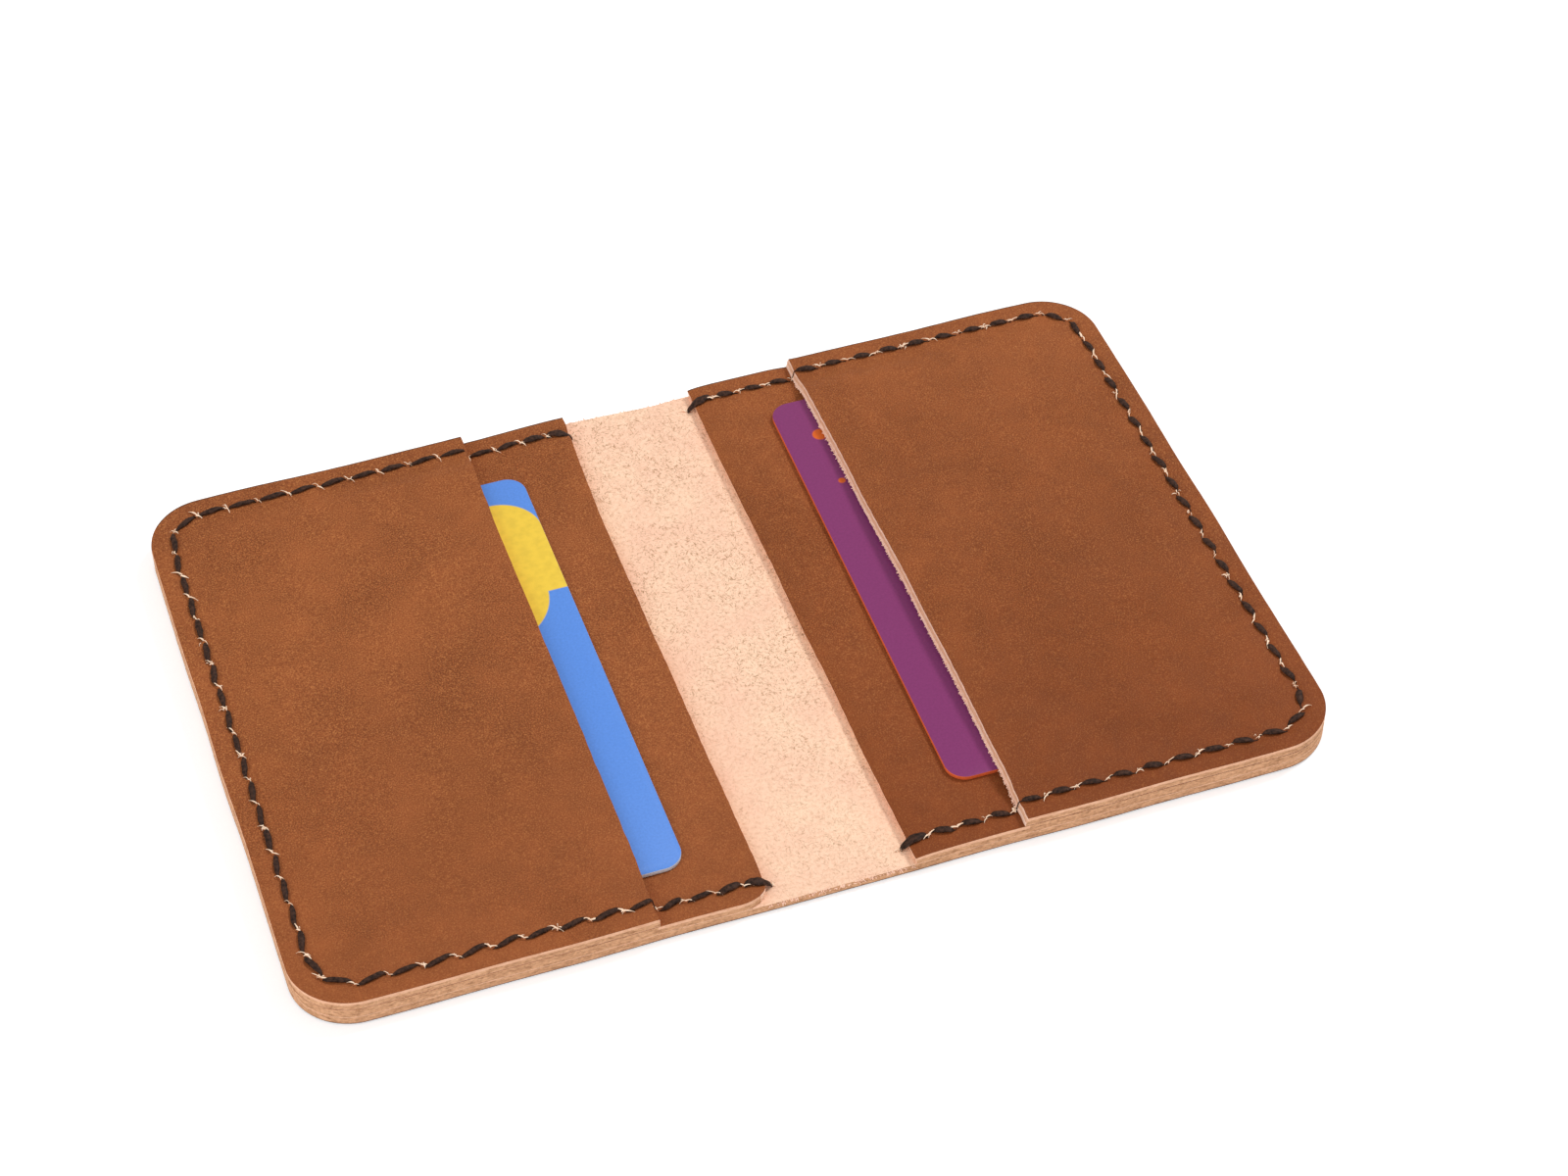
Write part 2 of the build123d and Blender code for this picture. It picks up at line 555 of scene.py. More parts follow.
def grainLeather(name, side):
    # each half goes from its near colour to its far colour, on the right half darker towards the near side,
    # then clouded, pebbled and flecked
    hide = grain[side]
    material, tree, shader = newMaterial(name, 0.55, Specular_IOR_Level=0.09)
    place = stretched(tree, (1, 1, 1), hide["turn"])
    along = addNode(tree, "SeparateXYZ", None, Vector=stretched(tree, (1, 1, 1)))
    share = levels(tree, along.outputs["Y"], -0.9 * holder["halfLength"], 0.9 * holder["halfLength"])
    main = mixed(tree, share, hide["near"], hide["far"])
    cloud = noise(tree, place, grain["blotch"], 3, 0.5, 0.4)
    shadeCloud = ramp(tree, cloud, (0.3, (0.8, 0.79, 0.78, 1)), (0.5, (0.92, 0.92, 0.92, 1)),
                      (0.7, (1, 1, 1, 1)))
    smallCloud = noise(tree, place, 9 * grain["blotch"], 4, 0.65)
    mottle = ramp(tree, smallCloud, (0.35, (0.86, 0.86, 0.86, 1)), (0.65, (1, 1, 1, 1)))
    base = mixed(tree, 1.0, mixed(tree, 1.0, main, shadeCloud, "MULTIPLY"), mottle, "MULTIPLY")
    # pebbled patches come and go over the hide; their creases and pits get painted shade and their tops
    # painted glints, partly the grain's own darker and lighter colour
    cells = addNode(tree, "TexVoronoi", {"feature": "DISTANCE_TO_EDGE"}, Vector=place, Scale=grain["cell"])
    creaseShade = levels(tree, cells.outputs["Distance"], 0.0, 0.18)
    pebbled = levels(tree, noise(tree, place, 2 * grain["blotch"], 2), 0.4, 0.65, 0.25, 1.0)
    line = maths(tree, "MULTIPLY", maths(tree, "SUBTRACT", 1.0, creaseShade), pebbled)
    clear = levels(tree, share, 0.0, 0.45, 0.5 * hide["pebble"], hide["pebble"])
    line = maths(tree, "MULTIPLY", line, clear)
    base = mixed(tree, maths(tree, "MULTIPLY", line, 0.42), base, grain["creaseShade"])
    pores = noise(tree, place, grain["pore"], 2, 0.6)
    # light flecks are painted glints and dark pits are painted shade, partly the grain's own colour
    fleckGlint = maths(tree, "MULTIPLY", levels(tree, pores, 0.52, 0.74), clear)
    base = mixed(tree, maths(tree, "MULTIPLY", fleckGlint, 0.55), base, grain["fleckGlint"])
    pit = maths(tree, "MULTIPLY", levels(tree, pores, 0.47, 0.26), clear)
    base = mixed(tree, maths(tree, "MULTIPLY", pit, 0.5), base, grain["creaseShade"])
    tree.links.new(base, shader.inputs["Base Color"])
    tree.links.new(levels(tree, smallCloud, 0.3, 0.7, 0.48, 0.62), shader.inputs["Roughness"])
    raised = maths(tree, "MULTIPLY", maths(tree, "MULTIPLY", creaseShade, pebbled), 0.8)
    bumped(tree, shader, maths(tree, "ADD", raised, maths(tree, "MULTIPLY", pores, 0.9)), 0.8, 0.08 * mm)
    return material


flesh = {
    "main": tone(250, 212, 182),
    "pink": tone(245, 200, 173),
    "shadow": tone(218, 170, 138),
    "speck": tone(156, 114, 78),
    "fibre": 3600,         # fibres per metre
}


def fleshLeather(name):
    material, tree, shader = newMaterial(name, 0.9, Specular_IOR_Level=0.1)
    place = stretched(tree, (1, 1, 1))
    cloud = noise(tree, place, 90, 4, 0.6)
    base = ramp(tree, cloud, (0.35, flesh["pink"]), (0.65, flesh["main"]))
    fluffy = noise(tree, place, 1700, 3, 0.6)
    base = mixed(tree, levels(tree, fluffy, 0.55, 0.3, 0.0, 0.5), base, flesh["shadow"])
    along = addNode(tree, "SeparateXYZ", None, Vector=place)
    clear = levels(tree, along.outputs["Y"], -0.9 * holder["halfLength"], 0, 0.5, 1.0)
    patches = levels(tree, noise(tree, place, 75, 3), 0.34, 0.6, 0.35, 1.0)
    patches = maths(tree, "MULTIPLY", patches, clear)
    for turn, low in ((0.3, 0.6), (0.95, 0.61), (1.7, 0.61), (2.4, 0.61), (2.9, 0.62)):
        strands = noise(tree, stretched(tree, (1, 0.3, 1), turn), flesh["fibre"], 2, 0.5, 0.9)
        dark = maths(tree, "MULTIPLY", levels(tree, strands, low, low + 0.1), patches)
        base = mixed(tree, maths(tree, "MULTIPLY", dark, 0.78), base, flesh["speck"])
    tree.links.new(base, shader.inputs["Base Color"])
    nap = noise(tree, place, 2600, 4, 0.7)
    long = noise(tree, stretched(tree, (1, 0.3, 1), 0.5), 1500, 3, 0.6, 0.8)
    bumped(tree, shader, maths(tree, "ADD", nap, long), 0.6, 0.1 * mm)
    return material


rawEdge = {
    "light": tone(228, 177, 138),
    "main": tone(200, 147, 108),
    "dark": tone(142, 97, 64),
    "bandDark": tone(208, 152, 116),
    "band": tone(230, 176, 142),
    "bandLight": tone(238, 190, 158),
    "pale": tone(252, 214, 192),
    "paleDark": tone(226, 176, 148),
    # the torn fibres are pale leather, raised above the pale edge's colour as painted light for the grazing
    # light they catch
    "wisp": tone(253, 226, 199),
    "wispDark": tone(232, 190, 156),
}


def cutLeather(name, dark, main, light):
    material, tree, shader = newMaterial(name, 0.8, Specular_IOR_Level=0.12)
    lumps = noise(tree, stretched(tree, (520, 520, 2300)), 1, 3, 0.65)
    base = ramp(tree, lumps, (0.3, dark), (0.48, main), (0.68, light))
    crumbs = noise(tree, stretched(tree, (1900, 1900, 2900)), 1, 3, 0.7)
    base = mixed(tree, 0.42, base, ramp(tree, crumbs, (0.34, dark), (0.6, light)))
    tree.links.new(base, shader.inputs["Base Color"])
    bumped(tree, shader, maths(tree, "ADD", lumps, crumbs), 0.55, 0.1 * mm)
    return material


def waxedThread(name):
    material, tree, shader = newMaterial(name, 0.6, Specular_IOR_Level=0.12)
    fuzz = noise(tree, stretched(tree, (1, 1, 1)), 2200, 3, 0.6)
    base = ramp(tree, fuzz, (0.35, tone(34, 22, 17)), (0.68, tone(74, 49, 38)))
    tree.links.new(base, shader.inputs["Base Color"])
    bumped(tree, shader, fuzz, 0.35, 0.06 * mm)
    return material


def rimDarkAndShadeLeather(name):
    # the outline of the grain side painted dark: painted shade, and on the shell's outer side also a dark
    # edge with painted contact shadow
    material, tree, shader = newMaterial(name, 0.5, Specular_IOR_Level=0.15)
    rimMottle = noise(tree, stretched(tree, (1, 1, 1)), 500, 3)
    base = ramp(tree, rimMottle, (0.35, tone(66, 44, 34)), (0.65, tone(104, 70, 52)))
    tree.links.new(base, shader.inputs["Base Color"])
    return material


print("materials")
brown = {"left": grainLeather("brownGrainLeft", "left"), "right": grainLeather("brownGrainRight", "right")}
fleshSide = fleshLeather("fleshSide")
cutSide = cutLeather("cutEdge", rawEdge["dark"], rawEdge["main"], rawEdge["light"])
bandSide = cutLeather("edgeBand", rawEdge["bandDark"], rawEdge["band"], rawEdge["bandLight"])
paleSide = cutLeather("paleEdge", rawEdge["paleDark"], rawEdge["pale"], rawEdge["pale"])
# a lighter copy of the pale edge, painted light standing in for the light the torn fibres lose at a grazing
# angle
litWispSide = cutLeather("holeFibre", rawEdge["wispDark"], rawEdge["wisp"], rawEdge["wisp"])
# dark outline of the grain side: painted shade, and on the shell's outer side also a dark edge
rimDarkAndShadeSide = rimDarkAndShadeLeather("rimDarkAndShadeMaterial")
threadFinish = waxedThread("waxedThread")


# thread and fibres are swept strands: a centre line with a width and a thickness at each place
def strand(verts, faces, centre, across, wide, high, corners=8, plies=0, twist=0.0):
    base = len(verts)
    for i, point in enumerate(centre):
        ahead = centre[min(i + 1, len(centre) - 1)] - centre[max(i - 1, 0)]
        up = across.cross(ahead).normalized() * -1
        if up.z < 0:
            up = -up
        for k in range(corners):
            angle = math.tau * k / corners
            ply = 1 + 0.09 * math.cos(plies * angle - twist * i) if plies else 1
            offset = across * (wide[i] / 2 * math.cos(angle)) + up * (high[i] / 2 * math.sin(angle))
            verts.append(point + offset * ply)
    for i in range(len(centre) - 1):
        for k in range(corners):
            a = base + i * corners + k
            b = base + i * corners + (k + 1) % corners
            faces.append((a, b, b + corners, a + corners))
    faces.append(tuple(base + k for k in reversed(range(corners))))
    end = base + (len(centre) - 1) * corners
    faces.append(tuple(end + k for k in range(corners)))


def outward(verts, faces):
    # turns all the faces round if the strands' volume comes out negative
    total = 0.0
    for face in faces:
        a = verts[face[0]]
        for k in range(1, len(face) - 1):
            total += a.dot(verts[face[k]].cross(verts[face[k + 1]]))
    return faces if total > 0 else [tuple(reversed(face)) for face in faces]


# leather
swell = {
    "high": 0.92 * mm,       # room for a card under the front pocket
    "endY": 48.4 * mm,       # where the swell meets the sewn margin
    "slopeY": 4.6 * mm,
    "endX": 77.2 * mm,
    "slopeX": 9.0 * mm,
    "lipReach": 17 * mm,     # how far in from the opening edge the lift dies away
    "uneven": 0.06 * mm,
    "unevenSize": 34 * mm,
    "roomY": 45.2 * mm,      # half length and far end of the card's room
    "roomX": 77.0 * mm,
    "roomHigh": 0.9 * mm,
}


def frontSwell(side, x, y):
    half = halves[side]
    acrossY = smooth((swell["endY"] - np.abs(y)) / swell["slopeY"])
    acrossX = smooth((swell["endX"] - x) / swell["slopeX"])
    calm = 1 - 0.55 * smooth((x - half["frontEdge"] - 6 * mm) / (34 * mm))
    lip = np.exp(-(x - half["frontEdge"]) / swell["lipReach"])
    away = np.where(y > half["peak"], (y - half["peak"]) / (swell["endY"] - half["peak"]),
                    (half["peak"] - y) / (swell["endY"] + half["peak"]))
    arch = np.clip(1 - away ** 2, 0, 1) ** 1.5
    body = swell["high"] * calm * acrossX * acrossY + half["lift"] * arch * lip
    return body + swell["uneven"] * waves(x, y, swell["unevenSize"], 5) * acrossY * acrossX


def seamSink(side, x, y):
    # the sewing pulls the surface down along the seam and at each hole
    inset = insetOf(x, y)
    line = np.exp(-((inset - seam["inset"]) / (0.75 * mm)) ** 2)
    line = line * smooth((x - halves[side]["start"]) / (2 * mm))
    edge = np.exp(-(x - halves[side]["backEdge"]) / seam["dentReach"])
    pressed = seam["dent"] * edge * np.exp(-((inset - seam["inset"]) / (1.1 * mm)) ** 2)
    sunk = np.maximum(pressed, halves[side]["sag"] * edge)
    return seam["sink"] * line + seam["dimple"] * dimples(side, x, y, seam["dimpleReach"]) + sunk


def frontTopOf(side):
    return lambda x, y: frontTop + frontSwell(side, x, y) - seamSink(side, x, y)


def frontBottomOf(side):
    def bottom(x, y):
        room = smooth((swell["roomY"] - np.abs(y)) / (0.9 * mm))
        room = room * smooth((swell["roomX"] - x) / (0.6 * mm))
        return backTop + np.maximum(frontSwell(side, x, y), swell["roomHigh"] * room)
    return bottom


def backTopOf(side):
    half = halves[side]

    def top(x, y):
        showing = smooth((half["frontEdge"] + 1.2 * mm - x) / (0.6 * mm))
        return backTop - seamSink(side, x, y) * showing
    return top


def shellTopOf(x, y):
    return holder["leather"] + 0 * x


def shellBottomOf(side):
    def bottom(x, y):
        across = np.abs(insetOf(x, y) - seam["inset"]) / (0.62 * mm)
        along = smooth((x - halves[side]["start"] + 1.2 * mm) / (0.8 * mm))
        return seam["groove"] * along * smooth(1.6 - across)
    return bottom


def flatAt(height):
    return lambda x, y: height + 0 * x


fraying = {
    "gap": {"count": 120, "longest": 0.6 * mm, "widest": 0.3 * mm, "wide": 11 * mm},
    "opening": {"count": 720, "longest": 0.44 * mm, "widest": 0.3 * mm},
    "bedded": 0.12 * mm,           # how deep in the leather a fibre starts
}


def torn(look, rootOf, heading, seed):
    # short torn fibres along an edge: rootOf gives the place of the one at a share from 0 to 1
    pick = random.Random(seed)
    verts, faces = [], []
    for i in range(look["count"]):
        root = rootOf(pick.random(), pick)
        turn = heading + pick.uniform(-1.2, 1.2)
        length = look["longest"] * pick.uniform(0.25, 1) ** 1.5
        wide = look["widest"] * pick.uniform(0.35, 1)
        out = Vector((math.cos(turn), math.sin(turn), pick.uniform(-0.5, 0.35)))
        across = Vector((-math.sin(turn), math.cos(turn), 0))
        centre = [root, root + out * (length / 2), root + out * length]
        widths = (wide, 0.8 * wide, 0.25 * wide)
        heights = (wide, 0.7 * wide, 0.2 * wide)
        strand(verts, faces, centre, across, widths, heights, 4)
    return verts, faces


def gapFluff(seed):
    # the flesh side frays at both ends of the gap between the pockets
    verts, faces = [], []
    for way in (1, -1):
        def root(share, pick):
            end = way * (holder["halfLength"] - fraying["bedded"])
            height = holder["leather"] - pick.uniform(0.02, 0.5) * mm
            return Vector((share * fraying["gap"]["wide"], end, height))

        more, moreFaces = torn(fraying["gap"], root, way * math.pi / 2, seed if way > 0 else seed + 1)
        faces += [tuple(v + len(verts) for v in face) for face in moreFaces]
        verts += more
    return verts, faces


def openingFluff(side, skew, seed):
    half = halves[side]
    reach = holder["halfLength"] - seam["inset"]

    def root(share, pick):
        y = (2 * share - 1) * reach
        z = float(frontBottomOf(side)(np.array(half["frontEdge"]), np.array(y)))
        return Vector((half["frontEdge"] - skew + fraying["bedded"], y, z + pick.uniform(0.05, 0.4) * mm))

    return torn(fraying["opening"], root, math.pi, seed)


# how each half's pockets were cut: the slope and the slant of their opening edges
cuts = {
    "left": {
        "frontSkew": 0.1 * mm, "backSkew": 0.05 * mm, "frontSlant": 0.4 * mm, "backSlant": 0.7 * mm,
        "corner": (4.6 * mm, 2.8 * mm), "frayed": False,
    },
    "right": {
        "frontSkew": 0.38 * mm, "backSkew": -0.25 * mm, "frontSlant": 0, "backSlant": 0,
        "corner": None, "frayed": True,
    },
}

print("leather")
pieces = {}
for side, half in halves.items():
    label = side.capitalize()
    cutOf = cuts[side]
    hidden = half["frontEdge"] + 2 * mm        # the back pocket is plain where the front one covers it
    pieces["shell" + label] = slab(
        "shell" + label, side, 0.0, shellTopOf, shellBottomOf(side), (0.04 * mm, 0.4 * mm),
        (half["backEdge"] + 2 * mm, holder["foldLine"] * 2 + 2 * mm), square=True, paleTo=0.0,
        fluff=gapFluff(41))
    pieces["backPocket" + label] = slab(
        "backPocket" + label, side, half["backEdge"], backTopOf(side), flatAt(holder["leather"]),
        (0.05 * mm, 0.06 * mm), (hidden, half["backEdge"] + 1 * mm), corner=cutOf["corner"],
        skew=cutOf["backSkew"], slant=cutOf["backSlant"], paleTo=half["frontEdge"],
        lipRows=("pale", "lower", "lower", "lower", "lower"))
    pieces["frontPocket" + label] = slab(
        "frontPocket" + label, side, half["frontEdge"], frontTopOf(side), frontBottomOf(side),
        (0.1 * mm, 0.1 * mm), skew=cutOf["frontSkew"], slant=cutOf["frontSlant"],
        fluff=openingFluff(side, cutOf["frontSkew"], 51) if cutOf["frayed"] else None)


def tautHeight(side, x, startX, endX):
    # height of the leather under a stitch, ramping up to a pocket's opening edge
    half = halves[side]
    for edge, low, high in (
        (half["backEdge"], holder["leather"], backTop - seam["dent"]),
        (half["frontEdge"], backTop, frontTop),
    ):
        if startX < edge < endX and x < edge:
            return low + (high - low) * max(0.0, (x - startX) / (edge - startX))
    if x > half["frontEdge"]:
        return frontTop
    if x > half["backEdge"]:
        return backTop - seam["dent"] * math.exp(-(x - half["backEdge"]) / seam["dentReach"])
    return holder["leather"]


# degrees that the stitches lean from the seam, how long and how plump they are, and the heading of
# the torn fibres at their holes
lean = {
    "left": {
        "near": 11, "side": -4, "far": 4, "nearEnd": -5, "farEnd": -8,
        "wander": 4, "reach": 0.86, "plump": 1.0,
    },
    "right": {
        "near": -9, "side": 10, "far": -4, "nearEnd": 4, "farEnd": 8,
        "wander": 4, "reach": 0.64, "plump": 1.13,
    },
}
wisp = {
    "left": {"near": -25, "side": -47, "far": -52, "wander": 14},
    "right": {"near": 16, "side": 74, "far": -14, "wander": 16},
}


def stretchOf(x, y):
    if x > turnX + 3 * mm and abs(y) < turnY:
        return "side"
    return "near" if y < 0 else "far"


# the first and last stitch of each seam carry more thread, and the ones beside them a little more
stitch = {
    "steps": 20,
    "endPlump": 1.6,
    "besidePlump": 1.3,
    "endReach": 1.06,
    "endFull": 1.9,                # lower is more pointed
    "full": (2.4, 3.6),
    "endWaist": 0.3,
    "waist": 0.17,
    "tuckFrom": 0.86,              # share of half a stitch where it starts to dive
    "tuck": 7 * mm,
    "proud": 0.72,
    "bedded": 0.16,
    "outside": 0.24 * mm,
    "plies": 3,
}


def sewing(side):
    pick = random.Random(11 if side == "left" else 12)
    sign = halves[side]["sign"]
    verts, faces = [], []
    holes = halves[side]["holes"]
    count = len(holes) - 1
    for i in range(count):
        ax, ay, _ = holes[i]
        bx, by, _ = holes[i + 1]
        mx, my = (ax + bx) / 2, (ay + by) / 2
        pitch = math.hypot(bx - ax, by - ay)
        heading = math.atan2(by - ay, bx - ax)
        forward = Vector((math.cos(heading), math.sin(heading), 0))
        across = Vector((-math.sin(heading), math.cos(heading), 0))
        look = lean[side]
        fromEnd = min(i, count - 1 - i)
        last = fromEnd == 0
        part = stretchOf(mx, my) + ("End" if last else "")
        turn = math.radians(look[part] + pick.uniform(-1, 1) * (0 if last else look["wander"]))
        slope = math.tan(turn) * sign
        plumpness = look["plump"]
        if last:
            plumpness = stitch["endPlump"]
        elif fromEnd == 1:
            plumpness = stitch["besidePlump"]
        body = plumpness * pick.uniform(0.9, 1.08)
        startX, endX = min(ax, bx), max(ax, bx)
        twist = pick.uniform(0.5, 0.9)
        full = stitch["endFull"] if last else pick.uniform(*stitch["full"])
        skewed = pick.uniform(-0.12, 0.12)
        reach = stitch["endReach"] if last else look["reach"] * pick.uniform(0.92, 1.08)
        waist = stitch["endWaist"] if last else stitch["waist"]
        for face in ("inside", "outside"):
            centre, wide, high = [], [], []
            for k in range(stitch["steps"] + 1):
                t = -1 + 2 * k / stitch["steps"]
                s = t * pitch / 2
                swing = slope * s * (1 - abs(t) ** 5) * 1.35
                plump = max(0.0, 1 - abs((t - skewed * (1 - t * t)) / reach) ** full)
                dive = max(0.0, abs(t) - stitch["tuckFrom"]) * stitch["tuck"]
                px = mx + forward.x * s + across.x * swing
                py = my + forward.y * s + across.y * swing
                if face == "inside":
                    above = seam["high"] * (stitch["proud"] * plump ** 0.7 - stitch["bedded"]) * body
                    z = tautHeight(side, px, startX, endX) + above
                    z -= dive
                else:
                    z = seam["groove"] - stitch["outside"] * plump ** 0.6 + dive
                centre.append(Vector((px, py, z)))
                wide.append(seam["wide"] * body * (waist + (1 - waist) * plump))
                high.append(seam["high"] * (1.1 if face == "inside" else 0.55) * (0.3 + 0.7 * plump))
            strand(verts, faces, centre, across, wide, high, 10, stitch["plies"], twist)
    return verts, faces


def strandPiece(name, verts, faces, finish, sign, sharp=60):
    places = np.array([tuple(v) for v in verts])
    return meshPiece(name, places, outward(verts, faces), [0] * len(faces), (finish,), sign, sharp)


print("stitches")
for side, half in halves.items():
    verts, faces = sewing(side)
    name = "stitching" + side.capitalize()
    pieces[name] = strandPiece(name, verts, faces, threadFinish, half["sign"])


# wisps of torn leather, a pair at each hole and loose ones round some; the spans to draw from are in mm
hairs = {
    "steps": 5,
    "curl": 0.4,
    "thinnest": 0.05 * mm,
    "pairLong": (0.85, 1.5),
    "pairRise": (0.24, 0.46),
    "pairWide": (0.2, 0.38),
    "looseFrom": (-0.4, 0.4),
    "looseLong": (0.3, 0.8),
    "looseRise": (0.2, 0.5),
    "looseWide": (0.12, 0.36),
    "loose": (0, 1, 1, 2, 5),      # how many there may be at a hole
    "looseAtLip": 9,               # at the hole beside the right front pocket's near lip
}


def fibre(verts, faces, root, heading, length, rise, wide, pick):
    # it leaves the hole, lifts and droops
    centre, widths, heights = [], [], []
    curl = pick.uniform(-hairs["curl"], hairs["curl"])
    for k in range(hairs["steps"] + 1):
        t = k / hairs["steps"]
        angle = heading + curl * t
        out = Vector((math.cos(angle), math.sin(angle), 0)) * (length * t)
        centre.append(root + out + Vector((0, 0, rise * math.sin(math.pi * min(1, 0.12 + 0.8 * t)))))
        widths.append(wide * (1 - 0.75 * t ** 1.6) * (0.8 + 0.2 * math.sin(7 * t + curl * 9)))
        heights.append(max(hairs["thinnest"], 0.45 * widths[-1]))
    across = Vector((-math.sin(heading), math.cos(heading), 0))
    strand(verts, faces, centre, across, widths, heights, 5)


def tufts(side):
    pick = random.Random(31 if side == "left" else 32)
    sign = halves[side]["sign"]
    verts, faces = [], []
    for hx, hy, heading in halves[side]["holes"]:
        z = tautHeight(side, hx, hx, hx) - 0.05 * mm
        look = wisp[side]
        slit = math.radians(look[stretchOf(hx, hy)] + pick.uniform(-1, 1) * look["wander"])
        if sign < 0:
            slit = math.pi - slit
        beside = Vector((-math.sin(slit), math.cos(slit), 0))
        strength = pick.choice((0.7, 1.0, 1.0, 1.25))
        for way in (0, math.pi):
            shift = beside * ((-1 if way else 1) * pick.uniform(0.0, 0.14) * mm)
            root = Vector((hx, hy, z)) + shift
            length = pick.uniform(*hairs["pairLong"]) * mm * strength
            rise = pick.uniform(*hairs["pairRise"]) * mm
            wide = pick.uniform(*hairs["pairWide"]) * mm * strength
            fibre(verts, faces, root, slit + way + pick.uniform(-0.2, 0.2), length, rise, wide, pick)
        # some holes have torn right open, most of all beside the right pocket's opening edge
        more = pick.choice(hairs["loose"])
        if side == "right" and hy < 0 and abs(hx - halves[side]["frontEdge"]) < 1 * mm:
            more = hairs["looseAtLip"]
        for k in range(more):
            away = (pick.uniform(*hairs["looseFrom"]) * mm, pick.uniform(*hairs["looseFrom"]) * mm)
            root = Vector((hx + away[0], hy + away[1], z))
            length = pick.uniform(*hairs["looseLong"]) * mm
            rise = pick.uniform(*hairs["looseRise"]) * mm
            way = pick.uniform(0, math.tau)
            wide = pick.uniform(*hairs["looseWide"]) * mm
            fibre(verts, faces, root, way, length, rise, wide, pick)
    return verts, faces


print("fibres")
for side, half in halves.items():
    verts, faces = tufts(side)
    name = "holeFibres" + side.capitalize()
    pieces[name] = strandPiece(name, verts, faces, litWispSide, half["sign"])


# cards
# the left card's yellow patch is two rounds and a band, and the right card has two orange spots
cards = {
    "left": {
        "face": tone(88, 138, 219), "patch": tone(234, 197, 66), "edge": tone(232, 236, 246),
        "spots": (((-27.6 * mm, 30 * mm, 0), 6.95 * mm), ((-34.1 * mm, 17 * mm, 0), 10.3 * mm)),
        "band": (15.8 * mm, 30 * mm),
        "slot": "blue_card",
    },
    "right": {
        "face": tone(129, 53, 105), "patch": tone(214, 98, 30), "edge": tone(240, 112, 60),
        "spots": (((28.2 * mm, 35.1 * mm, 0), 1.25 * mm), ((27.9 * mm, 23.8 * mm, 0), 0.6 * mm)),
        "band": None,
        "slot": "purple_card",
    },
}


def cardCore(name, colour):
    material, tree, shader = newMaterial(name, 0.5, Specular_IOR_Level=0.2)
    speck = noise(tree, stretched(tree, (1, 1, 1)), 3000, 2)
    base = ramp(tree, speck, (0.3, shade(colour, 0.82)), (0.7, colour))
    tree.links.new(base, shader.inputs["Base Color"])
    return material


def spot(tree, place, centre, radius, soft=0.1 * mm):
    # 1 inside a round patch of print, 0 outside
    node = addNode(tree, "VectorMath", {"operation": "DISTANCE"})
    tree.links.new(place, node.inputs[0])
    node.inputs[1].default_value = centre
    return levels(tree, node.outputs["Value"], radius - soft, radius + soft, 1.0, 0.0)


def band(tree, place, low, high, soft=0.1 * mm):
    # 1 between two heights along the card, 0 past them
    split = addNode(tree, "SeparateXYZ", None, Vector=place)
    above = levels(tree, split.outputs["Y"], low - soft, low + soft)
    below = levels(tree, split.outputs["Y"], high - soft, high + soft, 1.0, 0.0)
    return maths(tree, "MULTIPLY", above, below)


def cardFace(name, side):
    look = cards[side]
    material, tree, shader = newMaterial(name, 0.4, Specular_IOR_Level=0.22)
    place = onPlan(tree)
    grainy = noise(tree, stretched(tree, (1, 1, 1)), 2600, 2)
    base = ramp(tree, grainy, (0.3, shade(look["face"], 0.92)), (0.7, shade(look["face"], 1.04)))
    marks = [spot(tree, place, centre, radius) for centre, radius in look["spots"]]
    if look["band"]:
        marks.append(band(tree, place, *look["band"]))
    patch = marks[0]
    for mark in marks[1:]:
        patch = maths(tree, "MAXIMUM", patch, mark)
    ink = ramp(tree, noise(tree, place, 700, 3), (0.35, shade(look["patch"], 0.9)), (0.6, look["patch"]))
    base = mixed(tree, patch, base, ink)
    tree.links.new(base, shader.inputs["Base Color"])
    sheen = noise(tree, stretched(tree, (1, 1, 1)), 400, 2)
    tree.links.new(levels(tree, sheen, 0.3, 0.7, 0.36, 0.46), shader.inputs["Roughness"])
    return material


print("cards")
cardShape = {"corner": 3.18 * mm, "bevel": 0.07 * mm, "long": 85.6 * mm, "short": 53.98 * mm}


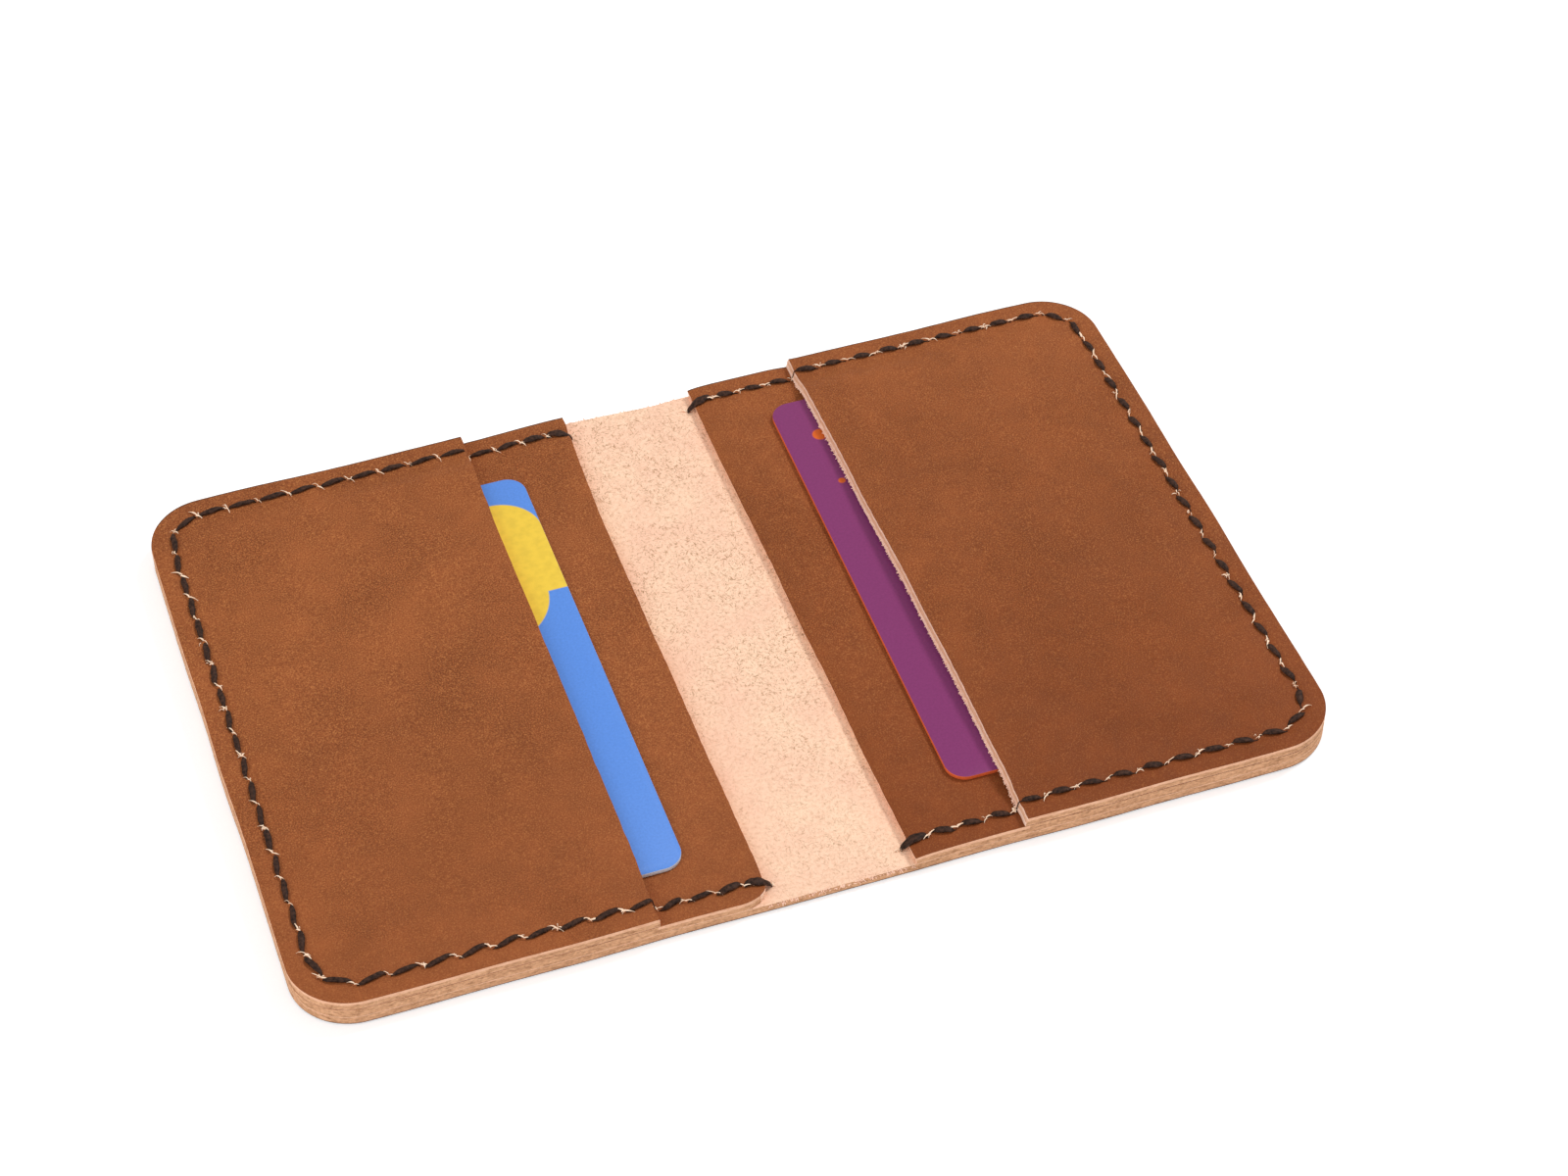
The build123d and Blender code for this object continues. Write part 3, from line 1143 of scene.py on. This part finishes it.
def cardPiece(side):
    # rounded slab with eased edges, turned as its CAD solid is
    low, high = halves[side]["cardLow"], halves[side]["cardHigh"]
    middle = (low + high) / 2
    thick = high.z - low.z
    spare = (high.y - low.y) - cardShape["long"]
    tilt = 0.0 if side == "left" else -spare / (cardShape["short"] - 2 * cardShape["corner"])
    halfX = cardShape["short"] / 2 - cardShape["corner"]
    halfY = cardShape["long"] / 2 - cardShape["corner"]
    corners = ((halfX, -halfY, -90), (halfX, halfY, 0), (-halfX, halfY, 90), (-halfX, -halfY, 180))
    bevel = cardShape["bevel"]
    rings = []
    for rise, inset in ((0, bevel), (0.3 * bevel, 0.3 * bevel), (bevel, 0),
                        (thick - bevel, 0), (thick - 0.3 * bevel, 0.3 * bevel), (thick, bevel)):
        ring = []
        for cx, cy, start in corners:
            for k in range(13):
                angle = math.radians(start + 7.5 * k)
                r = cardShape["corner"] - inset
                px, py = cx + r * math.cos(angle), cy + r * math.sin(angle)
                ring.append((middle.x + px * math.cos(tilt) - py * math.sin(tilt),
                             middle.y + px * math.sin(tilt) + py * math.cos(tilt), low.z + rise))
        rings.append(ring)
    size = len(rings[0])
    verts = np.array([point for ring in rings for point in ring])
    faces, marks = [tuple(reversed(range(size)))], [0]
    for r in range(len(rings) - 1):
        for i in range(size):
            j = (i + 1) % size
            faces.append((r * size + i, r * size + j, (r + 1) * size + j, (r + 1) * size + i))
            marks.append(0 if r in (0, 4) else 1)
    faces.append(tuple((len(rings) - 1) * size + i for i in range(size)))
    marks.append(0)
    name = "card" + side.capitalize()
    finishes = (cardFace(name + "Print", side), cardCore(name + "Core", cards[side]["edge"]))
    return meshPiece(name, verts, faces, marks, finishes, 1, 50, soft=False)


for side in halves:
    pieces["card" + side.capitalize()] = cardPiece(side)

print("joining the pieces to the frame")
for side, half in halves.items():
    label = side.capitalize()
    shell = pieces["shell" + label]
    if side == "left":
        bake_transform(shell)
        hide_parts("shell_left", "shell_spine")
    else:
        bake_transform(shell)
        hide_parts("shell_right")
    for kind, node in (("backPocket", "back_pocket_"), ("frontPocket", "front_pocket_")):
        piece = pieces[kind + label]
        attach(piece, half["body"])
        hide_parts(node + side)
    thread = pieces["stitching" + label]
    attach(thread, half["body"])
    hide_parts("stitching_" + side)
    wisps = pieces["holeFibres" + label]
    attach(wisps, half["body"])
    card = pieces["card" + label]
    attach(card, side + "_card")
    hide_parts("card_" + side)

# floor, light and camera
studio = {
    "floor": 6.0,
    "floorShade": 0.8,
    "floorGlow": 0.42,
    "sky": 0.52,
}
# softboxes: bearing from +X, height, distance, size and share of the light on a level surface
lamps = {
    "key": {"bearing": 22, "height": 51, "away": 1.8, "size": 0.36, "share": 0.4},
    "fill": {"bearing": 205, "height": 40, "away": 1.8, "size": 1.5, "share": 0.29},
}


def makeFloor():
    half = studio["floor"] / 2
    mesh = bpy.data.meshes.new("floor")
    corners = [(-half, -half, 0), (half, -half, 0), (half, half, 0), (-half, half, 0)]
    mesh.from_pydata(corners, [], [(0, 1, 2, 3)])
    floor = bpy.data.objects.new("floor", mesh)
    bpy.context.scene.collection.objects.link(floor)
    floor.location.z = cadLow.z
    material, tree, shader = newMaterial("glowingTable", 0.9, Specular_IOR_Level=0.0)
    cloud = noise(tree, stretched(tree, (1, 1, 1)), 3, 2)
    plain = studio["floorShade"]
    base = ramp(tree, cloud, (0.3, (0.99 * plain, 0.99 * plain, plain, 1)), (0.7, (plain, plain, plain, 1)))
    tree.links.new(base, shader.inputs["Base Color"])
    shader.inputs["Emission Color"].default_value = (0.985, 0.985, 1, 1)
    shader.inputs["Emission Strength"].default_value = studio["floorGlow"]
    mesh.materials.append(material)


def makeLight():
    world = bpy.data.worlds.new("studio")
    world.use_nodes = True
    world.node_tree.nodes["Background"].inputs["Color"].default_value = (1, 1, 1, 1)
    world.node_tree.nodes["Background"].inputs["Strength"].default_value = studio["sky"]
    bpy.context.scene.world = world
    for name, place in lamps.items():
        bearing, height = math.radians(place["bearing"]), math.radians(place["height"])
        toward = Vector((math.cos(bearing) * math.cos(height), math.sin(bearing) * math.cos(height),
                         math.sin(height)))
        lamp = bpy.data.lights.new(name, "AREA")
        lamp.size = place["size"]
        lamp.energy = place["share"] * (math.pi * place["away"]) ** 2 / math.sin(height)
        softbox = bpy.data.objects.new(name, lamp)
        softbox.location = toward * place["away"]
        softbox.rotation_euler = toward.to_track_quat("Z", "Y").to_euler()
        bpy.context.scene.collection.objects.link(softbox)


view = {
    "azimuth": -19.395,
    "height": 46.095,
    "distance": 565.95 * mm,
    "target": (12.44 * mm, 8.01 * mm, 0),
    "lens": 82.19,
    "film": 36,
}


def makeCamera():
    azimuth, height = math.radians(view["azimuth"]), math.radians(view["height"])
    back = Vector((math.sin(azimuth) * math.cos(height), -math.cos(azimuth) * math.cos(height),
                   math.sin(height)))
    data = bpy.data.cameras.new("camera")
    data.lens = view["lens"]
    data.sensor_width = view["film"]
    data.clip_start, data.clip_end = 0.01, 20
    camera = bpy.data.objects.new("camera", data)
    camera.location = Vector(view["target"]) + back * view["distance"]
    camera.rotation_euler = (-back).to_track_quat("-Z", "Y").to_euler()
    bpy.context.scene.collection.objects.link(camera)
    bpy.context.scene.camera = camera


print("studio")
makeFloor()
makeLight()
makeCamera()
bpy.context.scene.view_settings.view_transform = "Standard"
